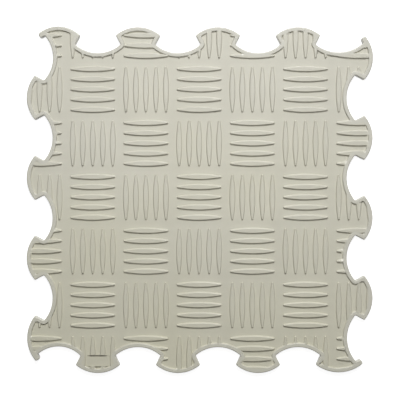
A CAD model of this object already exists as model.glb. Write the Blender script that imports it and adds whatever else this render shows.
"""Looks of the sensory mat tile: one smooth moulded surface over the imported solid.

The surface repeats the solid's edge line, rim and ribs at their real sizes. It adds what a mould
leaves: drafted walls, rounded crowns and feet, and a soft outer edge. A height function gives the top
at any point, and the mesh is laid along that function's contour lines.
"""

import math

import bpy
import numpy as np
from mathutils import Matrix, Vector
from mathutils.geometry import delaunay_2d_cdt
from mathutils.kdtree import KDTree


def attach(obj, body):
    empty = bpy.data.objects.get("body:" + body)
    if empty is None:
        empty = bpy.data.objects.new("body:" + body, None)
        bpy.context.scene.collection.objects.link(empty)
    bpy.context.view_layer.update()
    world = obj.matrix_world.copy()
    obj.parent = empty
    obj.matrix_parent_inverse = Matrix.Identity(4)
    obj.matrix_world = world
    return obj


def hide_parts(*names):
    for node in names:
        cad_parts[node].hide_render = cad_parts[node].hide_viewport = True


# Edge line, as in the solid
SIDES = 4
TABS_PER_SIDE = 4
TAB_PITCH = 0.0694
TAB_SHIFT_X = -0.0014
TAB_SHIFT_Y = 0.0020
CORNER_SHIFT_X = 0.0008
CORNER_SHIFT_Y = 0.0012
TAB_REACH = 0.0112
TAB_CORNER_HEIGHT = 0.0039
TAB_UNDERCUT = 0.0021
MATING_GAP = 0.0003
EDGE_CORNER_RADIUS = 0.0010
HOOK_RADIUS = 0.0016
EDGE_ARC_STEPS = 24
CORNER_STEPS = 5

# Section. The edge of the top has contour lines at these turns, in degrees, from upright to level
BASE_THICKNESS = 0.0045
RELIEF_HEIGHT = 0.0015
TOP_EDGE_RADIUS = 0.0010
TOP_EDGE_TURNS = (22.5, 45, 67.5, 90)
BOTTOM_EDGE_RADIUS = 0.0004
RIM_WIDTH = 0.0036
RIM_CORNER_RADIUS = 0.0015
# A point of the rim's inner line that is nearer to the edge than this share of its inset is in a hook
HOOK_SHARE = 0.97

# How far a wall of the relief leans over on its height, and half the run of the rounding at its foot
# and at its crown
WALL_RUN = 0.00056
FOOT = 0.00012
CROWN = 0.00042

# Ribs, as in the solid
CELL_LENGTH = 0.0461
CELL_HEIGHT = 0.0467
RIBS_PER_CELL = 5
RIB_END_MARGIN = 0.0035
RIB_SIDE_MARGIN = 0.0057
RIB_WIDTH = 0.0052
RIB_TIP_WIDTH = 0.0021
RIB_SHIFT_X = -0.0004
RIB_SHIFT_Y = 0.0025
RIB_SIDE_STEPS = 12
RIB_TIP_STEPS = 4

# Bare patch, as in the solid. The neck of a tab lies this share of the pitch from its first flank
PATCH_LENGTH = 0.0206
PATCH_WIDTH = 0.0077
PATCH_SIDE_INDEX = 2
PATCH_TAB_INDEX = 3
NECK_SHARE = 0.25

TILE_HEIGHT = BASE_THICKNESS + RELIEF_HEIGHT
MODULE = TABS_PER_SIDE * TAB_PITCH
SIDE_SHIFTS = (TAB_SHIFT_X, -TAB_SHIFT_Y, -TAB_SHIFT_X, TAB_SHIFT_Y)

# Points of the mesh nearer than this are one point, and slopes are taken over twice this step
MERGE_DISTANCE = 0.0000001
SLOPE_STEP = 0.00001

# Photograph: its frame and the tile's middle in pixels, and the camera's height above the hollow
PHOTO_PIXELS = 400
METRES_PER_PIXEL = 0.000867
TILE_MIDDLE_ACROSS = 199.62
TILE_MIDDLE_DOWN = 200.08
CAMERA_HEIGHT = 0.8
SENSOR_MILLIMETRES = 36.0

# Colours of the plastic: the clouds' darkest and palest, what they are multiplied by at the lower and
# at the upper side, the worn rim's, and the light that crowns are screened with
CLOUD_COLOURS = ((0.552, 0.532, 0.446), (0.580, 0.559, 0.471))
DRIFT_COLOURS = ((1.0, 1.0, 0.925), (0.995, 1.0, 1.0))
WORN_COLOUR = (0.566, 0.556, 0.500, 1)
WORN_SHARE = 0.4
CROWN_COLOUR = (0.08, 0.08, 0.08, 1)
CROWN_SHARE = 0.06

# Floor and lamps. Each lamp is a square of this size with its power in watts
FLOOR_SIZE = 4.0
FLOOR_COLOUR = (0.45, 0.45, 0.45, 1)
FLOOR_GLOW = 0.90
KEY_PLACE = (0.2, 1.36, 1.45)
KEY_SIZE = 0.6
KEY_POWER = 33.7
KEY_COLOUR = (0.95, 0.965, 1.0)
ABOVE_PLACE = (0.0, 0.16, 0.45)
ABOVE_SIZE = 0.4
ABOVE_POWER = 0.71
ABOVE_COLOUR = (1.0, 0.985, 0.95)
SURROUNDING_COLOUR = (1.0, 0.98, 0.93, 1)
SURROUNDING_STRENGTH = 0.065

# The sockets of a mix node for colours: factor, first and second colour, and the result
MIX_INPUTS = (0, 6, 7)
MIX_RESULT = 2


def arc_between(start, end, height, steps):
    """Points inside an arc from start to end that bulges to the left of its chord by height."""
    chord = end - start
    half = chord.length / 2
    radius = (half * half + height * height) / (2 * abs(height))
    spread = math.asin(half / radius)
    along = chord.normalized()
    outward = Vector((-along.y, along.x)) * math.copysign(1, height)
    centre = (start + end) / 2 + outward * (abs(height) - radius)
    angles = [spread * (2 * i / steps - 1) for i in range(1, steps)]
    return [centre + radius * (math.sin(a) * along + math.cos(a) * outward) for a in angles]


def corner_shift(side):
    """How far the tile's corners are shifted, in the directions of a side."""
    turn = side * math.tau / SIDES
    x = CORNER_SHIFT_X * math.cos(turn) - CORNER_SHIFT_Y * math.sin(turn)
    y = CORNER_SHIFT_X * math.sin(turn) + CORNER_SHIFT_Y * math.cos(turn)
    return Vector((x, y))


def flank(side, index):
    """The outer and the inner corner of a flank. The first and the last flank lie at the corners."""
    at_corner = index in (0, 2 * TABS_PER_SIDE)
    shift = corner_shift(side) if at_corner else Vector((SIDE_SHIFTS[side], 0))
    middle = Vector((index * TAB_PITCH / 2, 0)) + shift
    lean = Vector((TAB_UNDERCUT if index % 2 else -TAB_UNDERCUT, TAB_CORNER_HEIGHT))
    return middle + lean, middle - lean


def side_line(side):
    """The edge line of one side as (point, turn, radius): x runs along the side and y points out.

    A turn of 1 is an outer corner, -1 an inner one, and 0 a point of an arc. The line starts at the
    tile's corner and ends at the inner corner of the last socket.
    """
    bulge = TAB_REACH - TAB_CORNER_HEIGHT
    line = [(corner_shift(side), 1, HOOK_RADIUS)]
    for tab in range(TABS_PER_SIDE):
        tab_start, _ = flank(side, 2 * tab)
        tab_end, socket_start = flank(side, 2 * tab + 1)
        _, socket_end = flank(side, 2 * tab + 2)
        line.append((tab_start, 1, EDGE_CORNER_RADIUS if tab else HOOK_RADIUS))
        line += [(p, 0, 0) for p in arc_between(tab_start, tab_end, bulge, EDGE_ARC_STEPS)]
        line += [(tab_end, 1, EDGE_CORNER_RADIUS), (socket_start, -1, EDGE_CORNER_RADIUS)]
        line += [(p, 0, 0) for p in arc_between(socket_start, socket_end, -bulge, EDGE_ARC_STEPS)]
        line.append((socket_end, -1, EDGE_CORNER_RADIUS))
    return line


def place_on_side(point, side):
    """A point of side 0, the upper one, turned clockwise to another side of the tile."""
    turn = -side * math.tau / SIDES
    x = point.x - MODULE / 2
    y = point.y + MODULE / 2
    return Vector((x * math.cos(turn) - y * math.sin(turn), x * math.sin(turn) + y * math.cos(turn)))


def sharp_edge_line():
    """The whole edge line before its corners are rounded, clockwise, as (point, turn, radius)."""
    line = []
    for side in range(SIDES):
        line += [(place_on_side(point, side), turn, radius) for point, turn, radius in side_line(side)]
    return line


def moved_in(before, corner, after, distance):
    """The corner of a clockwise line after both of its sides have moved into the tile."""
    first = (corner - before).normalized()
    second = (after - corner).normalized()
    inward = Vector((first.y, -first.x)) + Vector((second.y, -second.x))
    return corner + inward * (2 * distance / inward.length_squared)


def rounded(before, corner, after, radius):
    """The points that round a corner off with the given radius."""
    first = (corner - before).normalized()
    second = (after - corner).normalized()
    turn = first.angle(second)
    reach = radius * math.tan(turn / 2)
    start = corner - first * reach
    end = corner + second * reach
    bulge = radius * (1 - math.cos(turn / 2))
    side = -1 if first.cross(second) > 0 else 1
    return [start] + arc_between(start, end, side * bulge, CORNER_STEPS) + [end]


def edge_line(depth, corner_radius=0):
    """The closed edge line, clockwise, at a depth inside the tile's outline.

    Its outer corners are rounded with at least the corner radius.
    """
    inset = MATING_GAP / 2 + depth
    sharp = sharp_edge_line()
    count = len(sharp)
    inner = [
        moved_in(sharp[i - 1][0], sharp[i][0], sharp[(i + 1) % count][0], inset)
        for i in range(count)
    ]
    pieces = [[point] for point in inner]
    for i, (_, turn, edge_radius) in enumerate(sharp):
        radius = edge_radius - turn * inset
        if turn > 0:
            radius = max(radius, corner_radius)
        if turn != 0 and radius > 0:
            before = clear_of(sharp, inner, i, -1, radius)
            after = clear_of(sharp, inner, i, 1, radius)
            for j in range(i + before + 1, i + after):
                pieces[j % count] = []
            pieces[i] = rounded(inner[(i + before) % count], inner[i], inner[(i + after) % count], radius)
    return np.array([tuple(p) for piece in pieces for p in piece])


def clear_of(sharp, inner, corner, step, radius):
    """How many points on, in steps of 1 or -1, the arc beside a corner is clear of its rounding."""
    count = step
    place = (corner + count) % len(inner)
    while sharp[place][1] == 0 and (inner[place] - inner[corner]).length < radius:
        count += step
        place = (corner + count) % len(inner)
    return count


class Line:
    """A closed line of points that tells how far places lie from it."""

    def __init__(self, points):
        self.points = points
        self.tree = KDTree(len(points))
        for i, (x, y) in enumerate(points):
            self.tree.insert((x, y, 0), i)
        self.tree.balance()

    def distance(self, places):
        """How far each of the places lies from the line."""
        nearest = np.array([self.tree.find((x, y, 0))[1] for x, y in places])
        before = self.points[nearest - 1]
        here = self.points[nearest]
        after = self.points[(nearest + 1) % len(self.points)]
        return np.minimum(off_segment(places, before, here), off_segment(places, here, after))

    def holds(self, places):
        """Whether each of the places lies inside the line."""
        inside = np.zeros(len(places), bool)
        x, y = places.T
        for (x0, y0), (x1, y1) in zip(self.points, np.roll(self.points, -1, axis=0)):
            if y0 != y1:
                crosses = (y0 > y) != (y1 > y)
                inside ^= crosses & (x < x0 + (y - y0) * (x1 - x0) / (y1 - y0))
        return inside


def off_segment(places, starts, ends):
    """How far each place lies from its own segment."""
    runs = ends - starts
    offsets = places - starts
    share = np.clip((offsets * runs).sum(axis=1) / (runs * runs).sum(axis=1), 0, 1)
    return np.hypot(*(offsets - share[:, None] * runs).T)


def wall(way_in):
    """The share of a wall's full height at a way in from its foot line."""
    slope = 1 / WALL_RUN
    foot = slope * np.clip(way_in + FOOT, 0, 2 * FOOT) ** 2 / (4 * FOOT)
    crown = slope * np.clip(WALL_RUN + CROWN - way_in, 0, 2 * CROWN) ** 2 / (4 * CROWN)
    return np.where(way_in < FOOT, foot, np.where(way_in > WALL_RUN - CROWN, 1 - crown, slope * way_in))


def wall_levels():
    """The ways in at which a wall gets a contour line: those of its foot, then those of its crown."""
    return [-FOOT, 0, FOOT, WALL_RUN - CROWN, WALL_RUN, WALL_RUN + CROWN]


def lens_shape(length):
    """Radius, centre drop and half length of the lens whose outset by the tip's half width is the rib."""
    half_length = length / 2 - RIB_TIP_WIDTH / 2
    half_width = (RIB_WIDTH - RIB_TIP_WIDTH) / 2
    radius = (half_length**2 + half_width**2) / (2 * half_width)
    return radius, radius - half_width, half_length


def way_into_lens(along, across, length):
    """How far inside a rib's foot line a place lies, given in the rib's own directions."""
    radius, drop, half_length = lens_shape(length)
    along = np.abs(along)
    across = np.abs(across)
    past_tip = (along - half_length) * drop > across * half_length
    off_tip = np.hypot(along - half_length, across)
    off_side = np.hypot(along, across + drop) - radius
    return RIB_TIP_WIDTH / 2 - np.where(past_tip, off_tip, off_side)


def way_into_rib(places):
    """How far inside the nearest rib's foot line each place lies."""
    x = places[:, 0] - RIB_SHIFT_X
    y = places[:, 1] - RIB_SHIFT_Y
    column = np.round(x / CELL_LENGTH)
    row = np.round(y / CELL_HEIGHT)
    x = x - column * CELL_LENGTH
    y = y - row * CELL_HEIGHT
    level = way_into_row(x, y, CELL_LENGTH, CELL_HEIGHT)
    upright = way_into_row(y, -x, CELL_HEIGHT, CELL_LENGTH)
    return np.where((column + row) % 2 == 0, level, upright)


def rib_spacing(cell_height):
    """How far the middles of a cell's ribs lie from each other, for ribs that run along its length."""
    return (cell_height - 2 * RIB_SIDE_MARGIN) / (RIBS_PER_CELL - 1)


def way_into_row(along, across, cell_length, cell_height):
    """How far inside a rib each place lies, for a cell whose ribs run along its length."""
    spacing = rib_spacing(cell_height)
    most = (RIBS_PER_CELL - 1) / 2
    step = np.clip(np.round(across / spacing), -most, most)
    return way_into_lens(along, across - step * spacing, cell_length - 2 * RIB_END_MARGIN)


def way_out_of_patch(places):
    """How far outside the bare patch each place lies, negative inside it."""
    low, high = patch_box()
    beyond = np.maximum(low - places, places - high)
    outside = np.hypot(*np.maximum(beyond, 0).T)
    return np.where(outside > 0, outside, beyond.max(axis=1))


def patch_box():
    """The lowest and highest corners of the bare patch, which lies on the neck of its tab."""
    middle = (PATCH_TAB_INDEX + NECK_SHARE) * TAB_PITCH + SIDE_SHIFTS[PATCH_SIDE_INDEX]
    x, y = place_on_side(Vector((middle, 0)), PATCH_SIDE_INDEX)
    half = np.array([PATCH_LENGTH, PATCH_WIDTH]) / 2
    return np.array([x, y]) - half, np.array([x, y]) + half


def hollow_line(outline, way_out):
    """The line at a way out from the middle of the rim's inner wall, which leaves the hooks out."""
    depth = RIM_WIDTH - way_out
    line = edge_line(depth, RIM_CORNER_RADIUS + way_out)
    return line[outline.distance(line) > HOOK_SHARE * depth]


class Top:
    """The top surface as a height and a direction at every place."""

    def __init__(self):
        self.outline = Line(edge_line(0))
        self.hollow = Line(hollow_line(self.outline, 0))

    def rim(self, places):
        """The share of the rim's full height at each place, ribs left out."""
        way_out = self.hollow.distance(places) * np.where(self.hollow.holds(places), -1, 1)
        return wall(way_out + WALL_RUN / 2)

    def heights(self, places):
        """The height of the top at each place."""
        ribs = np.minimum(wall(way_into_rib(places)), wall(way_out_of_patch(places)))
        relief = np.maximum(self.rim(places), ribs)
        edge = TOP_EDGE_RADIUS - np.clip(self.outline.distance(places), 0, TOP_EDGE_RADIUS)
        drop = TOP_EDGE_RADIUS - np.sqrt(TOP_EDGE_RADIUS**2 - edge**2)
        return BASE_THICKNESS + RELIEF_HEIGHT * relief - drop

    def facing(self, places):
        """The direction in which the top faces at each place."""
        slopes = []
        for axis in (0, 1):
            move = np.zeros(2)
            move[axis] = SLOPE_STEP
            rise = self.heights(places + move) - self.heights(places - move)
            slopes.append(rise / (2 * SLOPE_STEP))
        up = np.column_stack([-slopes[0], -slopes[1], np.ones(len(places))])
        return up / np.linalg.norm(up, axis=1)[:, None]


def lens_line(way_in, length):
    """The contour line of a rib at a way in from its foot line, along x."""
    radius, drop, half_length = lens_shape(length)
    outset = RIB_TIP_WIDTH / 2 - way_in
    reach = radius + outset
    if outset > 0:
        spread = math.asin(half_length / radius)
        turns = np.linspace(math.pi / 2 - spread, spread - math.pi / 2, RIB_TIP_STEPS + 1)
        tip = [(half_length + outset * math.cos(a), outset * math.sin(a)) for a in turns]
    else:
        spread = math.acos(drop / reach)
        tip = [(reach * math.sin(spread), 0.0)]
    angles = np.linspace(-spread, spread, RIB_SIDE_STEPS + 1)[1:-1]
    upper = [(reach * math.sin(a), reach * math.cos(a) - drop) for a in angles]
    half = np.array(upper + tip)
    return np.vstack([half, -half])


def rib_lines():
    """The contour lines of every rib near the tile."""
    half = MODULE / 2 + TAB_REACH
    columns = math.ceil(half / CELL_LENGTH)
    rows = math.ceil(half / CELL_HEIGHT)
    level = row_lines(CELL_LENGTH, CELL_HEIGHT)
    upright = [line[:, ::-1] * (-1, 1) for line in row_lines(CELL_HEIGHT, CELL_LENGTH)]
    for column in range(-columns, columns + 1):
        for row in range(-rows, rows + 1):
            middle = np.array([column * CELL_LENGTH + RIB_SHIFT_X, row * CELL_HEIGHT + RIB_SHIFT_Y])
            for line in level if (column + row) % 2 == 0 else upright:
                yield line + middle


def row_lines(cell_length, cell_height):
    """The contour lines of one cell's ribs, which run along its length."""
    length = cell_length - 2 * RIB_END_MARGIN
    lines = []
    for rib in range(RIBS_PER_CELL):
        step = np.array([0, (rib - (RIBS_PER_CELL - 1) / 2) * rib_spacing(cell_height)])
        lines += [lens_line(way_in, length) + step for way_in in wall_levels()]
    return lines


def patch_lines():
    """The contour lines of the walls in which ribs end at the bare patch."""
    low, high = patch_box()
    for way_in in wall_levels():
        (x0, y0), (x1, y1) = low - way_in, high + way_in
        yield np.array([(x0, y0), (x1, y0), (x1, y1), (x0, y1)])


class Net:
    """Points and the lines between them that the mesh has to follow."""

    def __init__(self):
        self.points = []
        self.lines = []

    def add(self, line, keep=None):
        """Adds a closed line. Points that aren't kept break it."""
        if keep is None:
            keep = np.ones(len(line), bool)
        first = len(self.points)
        places = np.cumsum(keep) - 1 + first
        self.points += [tuple(p) for p in line[keep]]
        count = len(line)
        for i in range(count):
            after = (i + 1) % count
            if keep[i] and keep[after]:
                self.lines.append((int(places[i]), int(places[after])))


def top_net(top):
    """The contour lines of the whole top. The outline comes first."""
    net = Net()
    net.add(top.outline.points)
    for turn in TOP_EDGE_TURNS:
        depth = TOP_EDGE_RADIUS * (1 - math.cos(math.radians(turn)))
        line = edge_line(depth)
        net.add(line, top.outline.distance(line) > HOOK_SHARE * depth)
    for way_in in wall_levels():
        net.add(hollow_line(top.outline, way_in - WALL_RUN / 2))
    lines = list(rib_lines())
    places = np.vstack(lines)
    kept = top.hollow.holds(places) | (top.hollow.distance(places) < WALL_RUN)
    kept &= way_out_of_patch(places) > -WALL_RUN
    ends = np.cumsum([len(line) for line in lines])
    for line, keep in zip(lines, np.split(kept, ends[:-1])):
        net.add(line, keep)
    for line in patch_lines():
        net.add(line)
    return net


def wall_rings():
    """(depth, height, tilt) of the rings below the top's outline, down to the underside."""
    rings = []
    for tilt in (0, math.pi / 4, math.pi / 2):
        depth = BOTTOM_EDGE_RADIUS * (1 - math.cos(tilt))
        rings.append((depth, BOTTOM_EDGE_RADIUS * (1 - math.sin(tilt)), tilt))
    return rings


def outward(line):
    """The level direction that points out of a clockwise line at each of its points."""
    run = np.roll(line, -1, axis=0) - np.roll(line, 1, axis=0)
    out = np.column_stack([-run[:, 1], run[:, 0]])
    return out / np.linalg.norm(out, axis=1)[:, None]


def laid_top(top):
    """The places and faces of the top as seen from above, and the places of its outline in order."""
    net = top_net(top)
    flat, _, faces, origins, _, _ = delaunay_2d_cdt(
        [Vector(p) for p in net.points], net.lines, [], 0, MERGE_DISTANCE, True
    )
    places = np.array([tuple(p) for p in flat])
    faces = np.array(faces)
    faces = faces[top.outline.holds(places[faces].mean(axis=1))].tolist()
    first = {origin: i for i, ids in enumerate(origins) for origin in ids}
    return places, faces, [first[i] for i in range(len(top.outline.points))]


def tile_mesh():
    """The whole surface: top, walls and underside, with its shading directions."""
    top = Top()
    places, faces, ring = laid_top(top)
    count = len(ring)
    points = np.column_stack([places, top.heights(places)])
    facing = top.facing(places)
    points[ring, 2] = TILE_HEIGHT - TOP_EDGE_RADIUS
    facing[ring] = np.column_stack([outward(top.outline.points), np.zeros(count)])
    for depth, height, tilt in wall_rings():
        line = edge_line(depth)
        above = ring
        ring = list(range(len(points), len(points) + count))
        points = np.vstack([points, np.column_stack([line, np.full(count, height)])])
        level = outward(line) * math.cos(tilt)
        facing = np.vstack([facing, np.column_stack([level, np.full(count, -math.sin(tilt))])])
        for i in range(count):
            j = (i + 1) % count
            faces.append([above[i], above[j], ring[j], ring[i]])
    faces.append(ring)
    rim = np.ones(len(points))
    rim[:len(places)] = top.rim(places)
    rim[ring] = 0
    mesh = bpy.data.meshes.new("mat_tile_surface")
    mesh.from_pydata(points.tolist(), [], faces)
    mesh.validate()
    mesh.attributes.new("rim", "FLOAT", "POINT").data.foreach_set("value", rim)
    mesh.shade_smooth()
    mesh.normals_split_custom_set_from_vertices(facing.tolist())
    return mesh


def node(tree, kind, place, **values):
    """A new shader node at a place on the sheet, with its inputs set by name."""
    made = tree.nodes.new(kind)
    made.location = place
    for name, value in values.items():
        made.inputs[name.replace("_", " ")].default_value = value
    return made


def ramp(tree, place, low, high, low_colour, high_colour):
    """A colour ramp between two colours."""
    made = tree.nodes.new("ShaderNodeValToRGB")
    made.location = place
    ends = ((low, low_colour), (high, high_colour))
    for element, (position, colour) in zip(made.color_ramp.elements, ends):
        element.position = position
        element.color = (*colour, 1)
    return made


def mixed(tree, blend, place, factor, first, second):
    """A mix of two colours, each a colour or the socket of another node, by a number or a socket."""
    made = tree.nodes.new("ShaderNodeMix")
    made.data_type = "RGBA"
    made.blend_type = blend
    made.location = place
    for i, value in zip(MIX_INPUTS, (factor, first, second)):
        if isinstance(value, bpy.types.NodeSocket):
            tree.links.new(value, made.inputs[i])
        else:
            made.inputs[i].default_value = value
    return made.outputs[MIX_RESULT]


def mapped(tree, place, value, low, high, to_low, to_high):
    """A value carried from one range to another and kept inside it."""
    ranges = {"From_Min": low, "From_Max": high, "To_Min": to_low, "To_Max": to_high}
    made = node(tree, "ShaderNodeMapRange", place, **ranges)
    tree.links.new(value, made.inputs["Value"])
    return made.outputs["Result"]


def plastic_colour(tree, place, height):
    """The colour: faint clouds, a drift from warm to cool up the tile, a greyer rim and paler crowns."""
    link = tree.links.new
    clouds = node(tree, "ShaderNodeTexNoise", (-1400, 500), Scale=28.0, Detail=4.0, Roughness=0.6)
    tint = ramp(tree, (-1150, 500), 0.3, 0.7, *CLOUD_COLOURS)
    link(place.outputs["Object"], clouds.inputs["Vector"])
    link(clouds.outputs["Fac"], tint.inputs["Fac"])

    spots = node(tree, "ShaderNodeTexNoise", (-1650, 200), Scale=9.0, Detail=2.0, Roughness=0.5)
    apart = tree.nodes.new("ShaderNodeSeparateXYZ")
    apart.location = (-1650, 0)
    link(place.outputs["Object"], spots.inputs["Vector"])
    link(place.outputs["Object"], apart.inputs[0])
    across = mapped(tree, (-1400, 0), apart.outputs["Y"], -0.17, 0.17, -0.15, 0.65)
    drift = tree.nodes.new("ShaderNodeMath")
    drift.operation = "ADD"
    drift.location = (-1400, 200)
    link(spots.outputs["Fac"], drift.inputs[0])
    link(across, drift.inputs[1])
    warmth = ramp(tree, (-1150, 200), 0.3, 1.2, *DRIFT_COLOURS)
    link(drift.outputs[0], warmth.inputs["Fac"])
    drifted = mixed(tree, "MULTIPLY", (-850, 400), 1.0, tint.outputs["Color"], warmth.outputs["Color"])

    rim = tree.nodes.new("ShaderNodeAttribute")
    rim.attribute_name = "rim"
    rim.location = (-1150, -100)
    worn = mapped(tree, (-850, -100), rim.outputs["Fac"], 0.0, 1.0, 0.0, WORN_SHARE)
    edged = mixed(tree, "MIX", (-600, 400), worn, drifted, WORN_COLOUR)
    crown = mapped(tree, (-850, -400), height, BASE_THICKNESS, TILE_HEIGHT, 0.0, CROWN_SHARE)
    return mixed(tree, "SCREEN", (-350, 400), crown, edged, CROWN_COLOUR)


def soft_plastic():
    """Warm grey soft plastic: a satin skin with a fine grain over low, uneven swells."""
    material = bpy.data.materials.new("soft_plastic_moulded")
    material.use_nodes = True
    tree = material.node_tree
    link = tree.links.new
    shader = tree.nodes["Principled BSDF"]
    shader.inputs["IOR"].default_value = 1.5
    shader.inputs["Specular IOR Level"].default_value = 0.5
    shader.inputs["Sheen Weight"].default_value = 0.15
    shader.inputs["Sheen Roughness"].default_value = 0.4
    shader.inputs["Sheen Tint"].default_value = (0.95, 0.95, 1.0, 1)
    place = node(tree, "ShaderNodeTexCoord", (-2000, 0))
    apart = tree.nodes.new("ShaderNodeSeparateXYZ")
    apart.location = (-1650, -500)
    link(place.outputs["Object"], apart.inputs[0])
    link(plastic_colour(tree, place, apart.outputs["Z"]), shader.inputs["Base Color"])

    rubbed = node(tree, "ShaderNodeTexNoise", (-1150, -700), Scale=90.0, Detail=3.0, Roughness=0.6)
    link(place.outputs["Object"], rubbed.inputs["Vector"])
    roughness = mapped(tree, (-850, -700), rubbed.outputs["Fac"], 0.3, 0.7, 0.28, 0.34)
    link(roughness, shader.inputs["Roughness"])

    swell = node(tree, "ShaderNodeTexNoise", (-1150, -1000), Scale=120.0, Detail=2.0, Roughness=0.5)
    waves = node(tree, "ShaderNodeBump", (-600, -1000), Strength=0.2, Distance=0.00008)
    grain = node(tree, "ShaderNodeTexNoise", (-1150, -1250), Scale=1500.0, Detail=3.0, Roughness=0.6)
    bump = node(tree, "ShaderNodeBump", (-350, -1000), Strength=0.15, Distance=0.00005)
    link(place.outputs["Object"], swell.inputs["Vector"])
    link(place.outputs["Object"], grain.inputs["Vector"])
    link(swell.outputs["Fac"], waves.inputs["Height"])
    link(waves.outputs["Normal"], bump.inputs["Normal"])
    link(grain.outputs["Fac"], bump.inputs["Height"])
    link(bump.outputs["Normal"], shader.inputs["Normal"])
    return material


def tile():
    """The tile's whole visible surface as one piece."""
    mesh = tile_mesh()
    piece = bpy.data.objects.new("mat_tile_surface", mesh)
    bpy.context.scene.collection.objects.link(piece)
    mesh.materials.append(soft_plastic())
    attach(piece, "root")
    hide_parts("mat_tile")


def seen_rays(tree):
    """A factor that is 1 for rays that come from the camera, also by way of gloss or glass."""
    path = node(tree, "ShaderNodeLightPath", (-900, 300))
    factor = path.outputs["Is Camera Ray"]
    for place, name in ((-600, "Is Glossy Ray"), (-350, "Is Transmission Ray")):
        either = tree.nodes.new("ShaderNodeMath")
        either.operation = "MAXIMUM"
        either.location = (place, 300)
        tree.links.new(factor, either.inputs[0])
        tree.links.new(path.outputs[name], either.inputs[1])
        factor = either.outputs[0]
    return factor


def floor():
    """A pale level floor that the camera sees as white but for the tile's soft shadow."""
    mesh = bpy.data.meshes.new("floor")
    half = FLOOR_SIZE / 2
    corners = [(-half, -half, 0), (half, -half, 0), (half, half, 0), (-half, half, 0)]
    mesh.from_pydata(corners, [], [(0, 1, 2, 3)])
    made = bpy.data.objects.new("floor", mesh)
    bpy.context.scene.collection.objects.link(made)
    material = bpy.data.materials.new("pale_floor")
    material.use_nodes = True
    tree = material.node_tree
    link = tree.links.new
    shader = tree.nodes["Principled BSDF"]
    shader.inputs["Base Color"].default_value = FLOOR_COLOUR
    shader.inputs["Roughness"].default_value = 1.0
    shader.inputs["Specular IOR Level"].default_value = 0.0
    glow = node(tree, "ShaderNodeEmission", (-300, -300), Strength=FLOOR_GLOW)
    dark = node(tree, "ShaderNodeEmission", (-300, -450), Strength=0.0)
    seen = tree.nodes.new("ShaderNodeMixShader")
    total = tree.nodes.new("ShaderNodeAddShader")
    seen.location = (0, -300)
    total.location = (250, 0)
    link(seen_rays(tree), seen.inputs[0])
    link(dark.outputs[0], seen.inputs[1])
    link(glow.outputs[0], seen.inputs[2])
    link(shader.outputs[0], total.inputs[0])
    link(seen.outputs[0], total.inputs[1])
    link(total.outputs[0], tree.nodes["Material Output"].inputs["Surface"])
    mesh.materials.append(material)


def lamp(name, place, size, power, colour):
    """A square area lamp that shines at the tile's middle."""
    light = bpy.data.lights.new(name, "AREA")
    light.shape = "SQUARE"
    light.size = size
    light.energy = power
    light.color = colour
    made = bpy.data.objects.new(name, light)
    made.location = place
    made.rotation_euler = (-Vector(place)).to_track_quat("-Z", "Y").to_euler()
    bpy.context.scene.collection.objects.link(made)
    return made


def lights():
    """A large soft lamp beyond the tile's upper side, a low one above it and an even surrounding."""
    lamp("key", KEY_PLACE, KEY_SIZE, KEY_POWER, KEY_COLOUR)
    above = lamp("above", ABOVE_PLACE, ABOVE_SIZE, ABOVE_POWER, ABOVE_COLOUR)
    above.visible_camera = False
    world = bpy.data.worlds.new("surrounding")
    bpy.context.scene.world = world
    world.use_nodes = True
    tree = world.node_tree
    plain = tree.nodes["Background"]
    plain.inputs["Color"].default_value = SURROUNDING_COLOUR
    plain.inputs["Strength"].default_value = SURROUNDING_STRENGTH
    white = node(tree, "ShaderNodeBackground", (0, -200), Color=(1, 1, 1, 1), Strength=1.0)
    seen = tree.nodes.new("ShaderNodeMixShader")
    link = tree.links.new
    link(seen_rays(tree), seen.inputs[0])
    link(plain.outputs[0], seen.inputs[1])
    link(white.outputs[0], seen.inputs[2])
    link(seen.outputs[0], tree.nodes["World Output"].inputs["Surface"])


def camera():
    """A camera straight above the tile, with the photograph's frame."""
    data = bpy.data.cameras.new("camera")
    data.sensor_width = SENSOR_MILLIMETRES
    data.lens = SENSOR_MILLIMETRES * CAMERA_HEIGHT / (PHOTO_PIXELS * METRES_PER_PIXEL)
    made = bpy.data.objects.new("camera", data)
    across = (PHOTO_PIXELS / 2 - TILE_MIDDLE_ACROSS) * METRES_PER_PIXEL
    up = (TILE_MIDDLE_DOWN - PHOTO_PIXELS / 2) * METRES_PER_PIXEL
    made.location = (across, up, CAMERA_HEIGHT + BASE_THICKNESS)
    bpy.context.scene.collection.objects.link(made)
    bpy.context.scene.camera = made


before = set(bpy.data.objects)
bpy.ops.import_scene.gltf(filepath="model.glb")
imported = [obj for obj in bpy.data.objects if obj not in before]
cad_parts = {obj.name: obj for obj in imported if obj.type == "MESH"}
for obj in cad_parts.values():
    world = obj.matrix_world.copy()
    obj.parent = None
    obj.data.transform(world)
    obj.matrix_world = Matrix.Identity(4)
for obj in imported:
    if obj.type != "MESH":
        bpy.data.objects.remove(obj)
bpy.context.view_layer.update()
tile()
floor()
lights()
camera()
bpy.context.scene.view_settings.view_transform = "Standard"
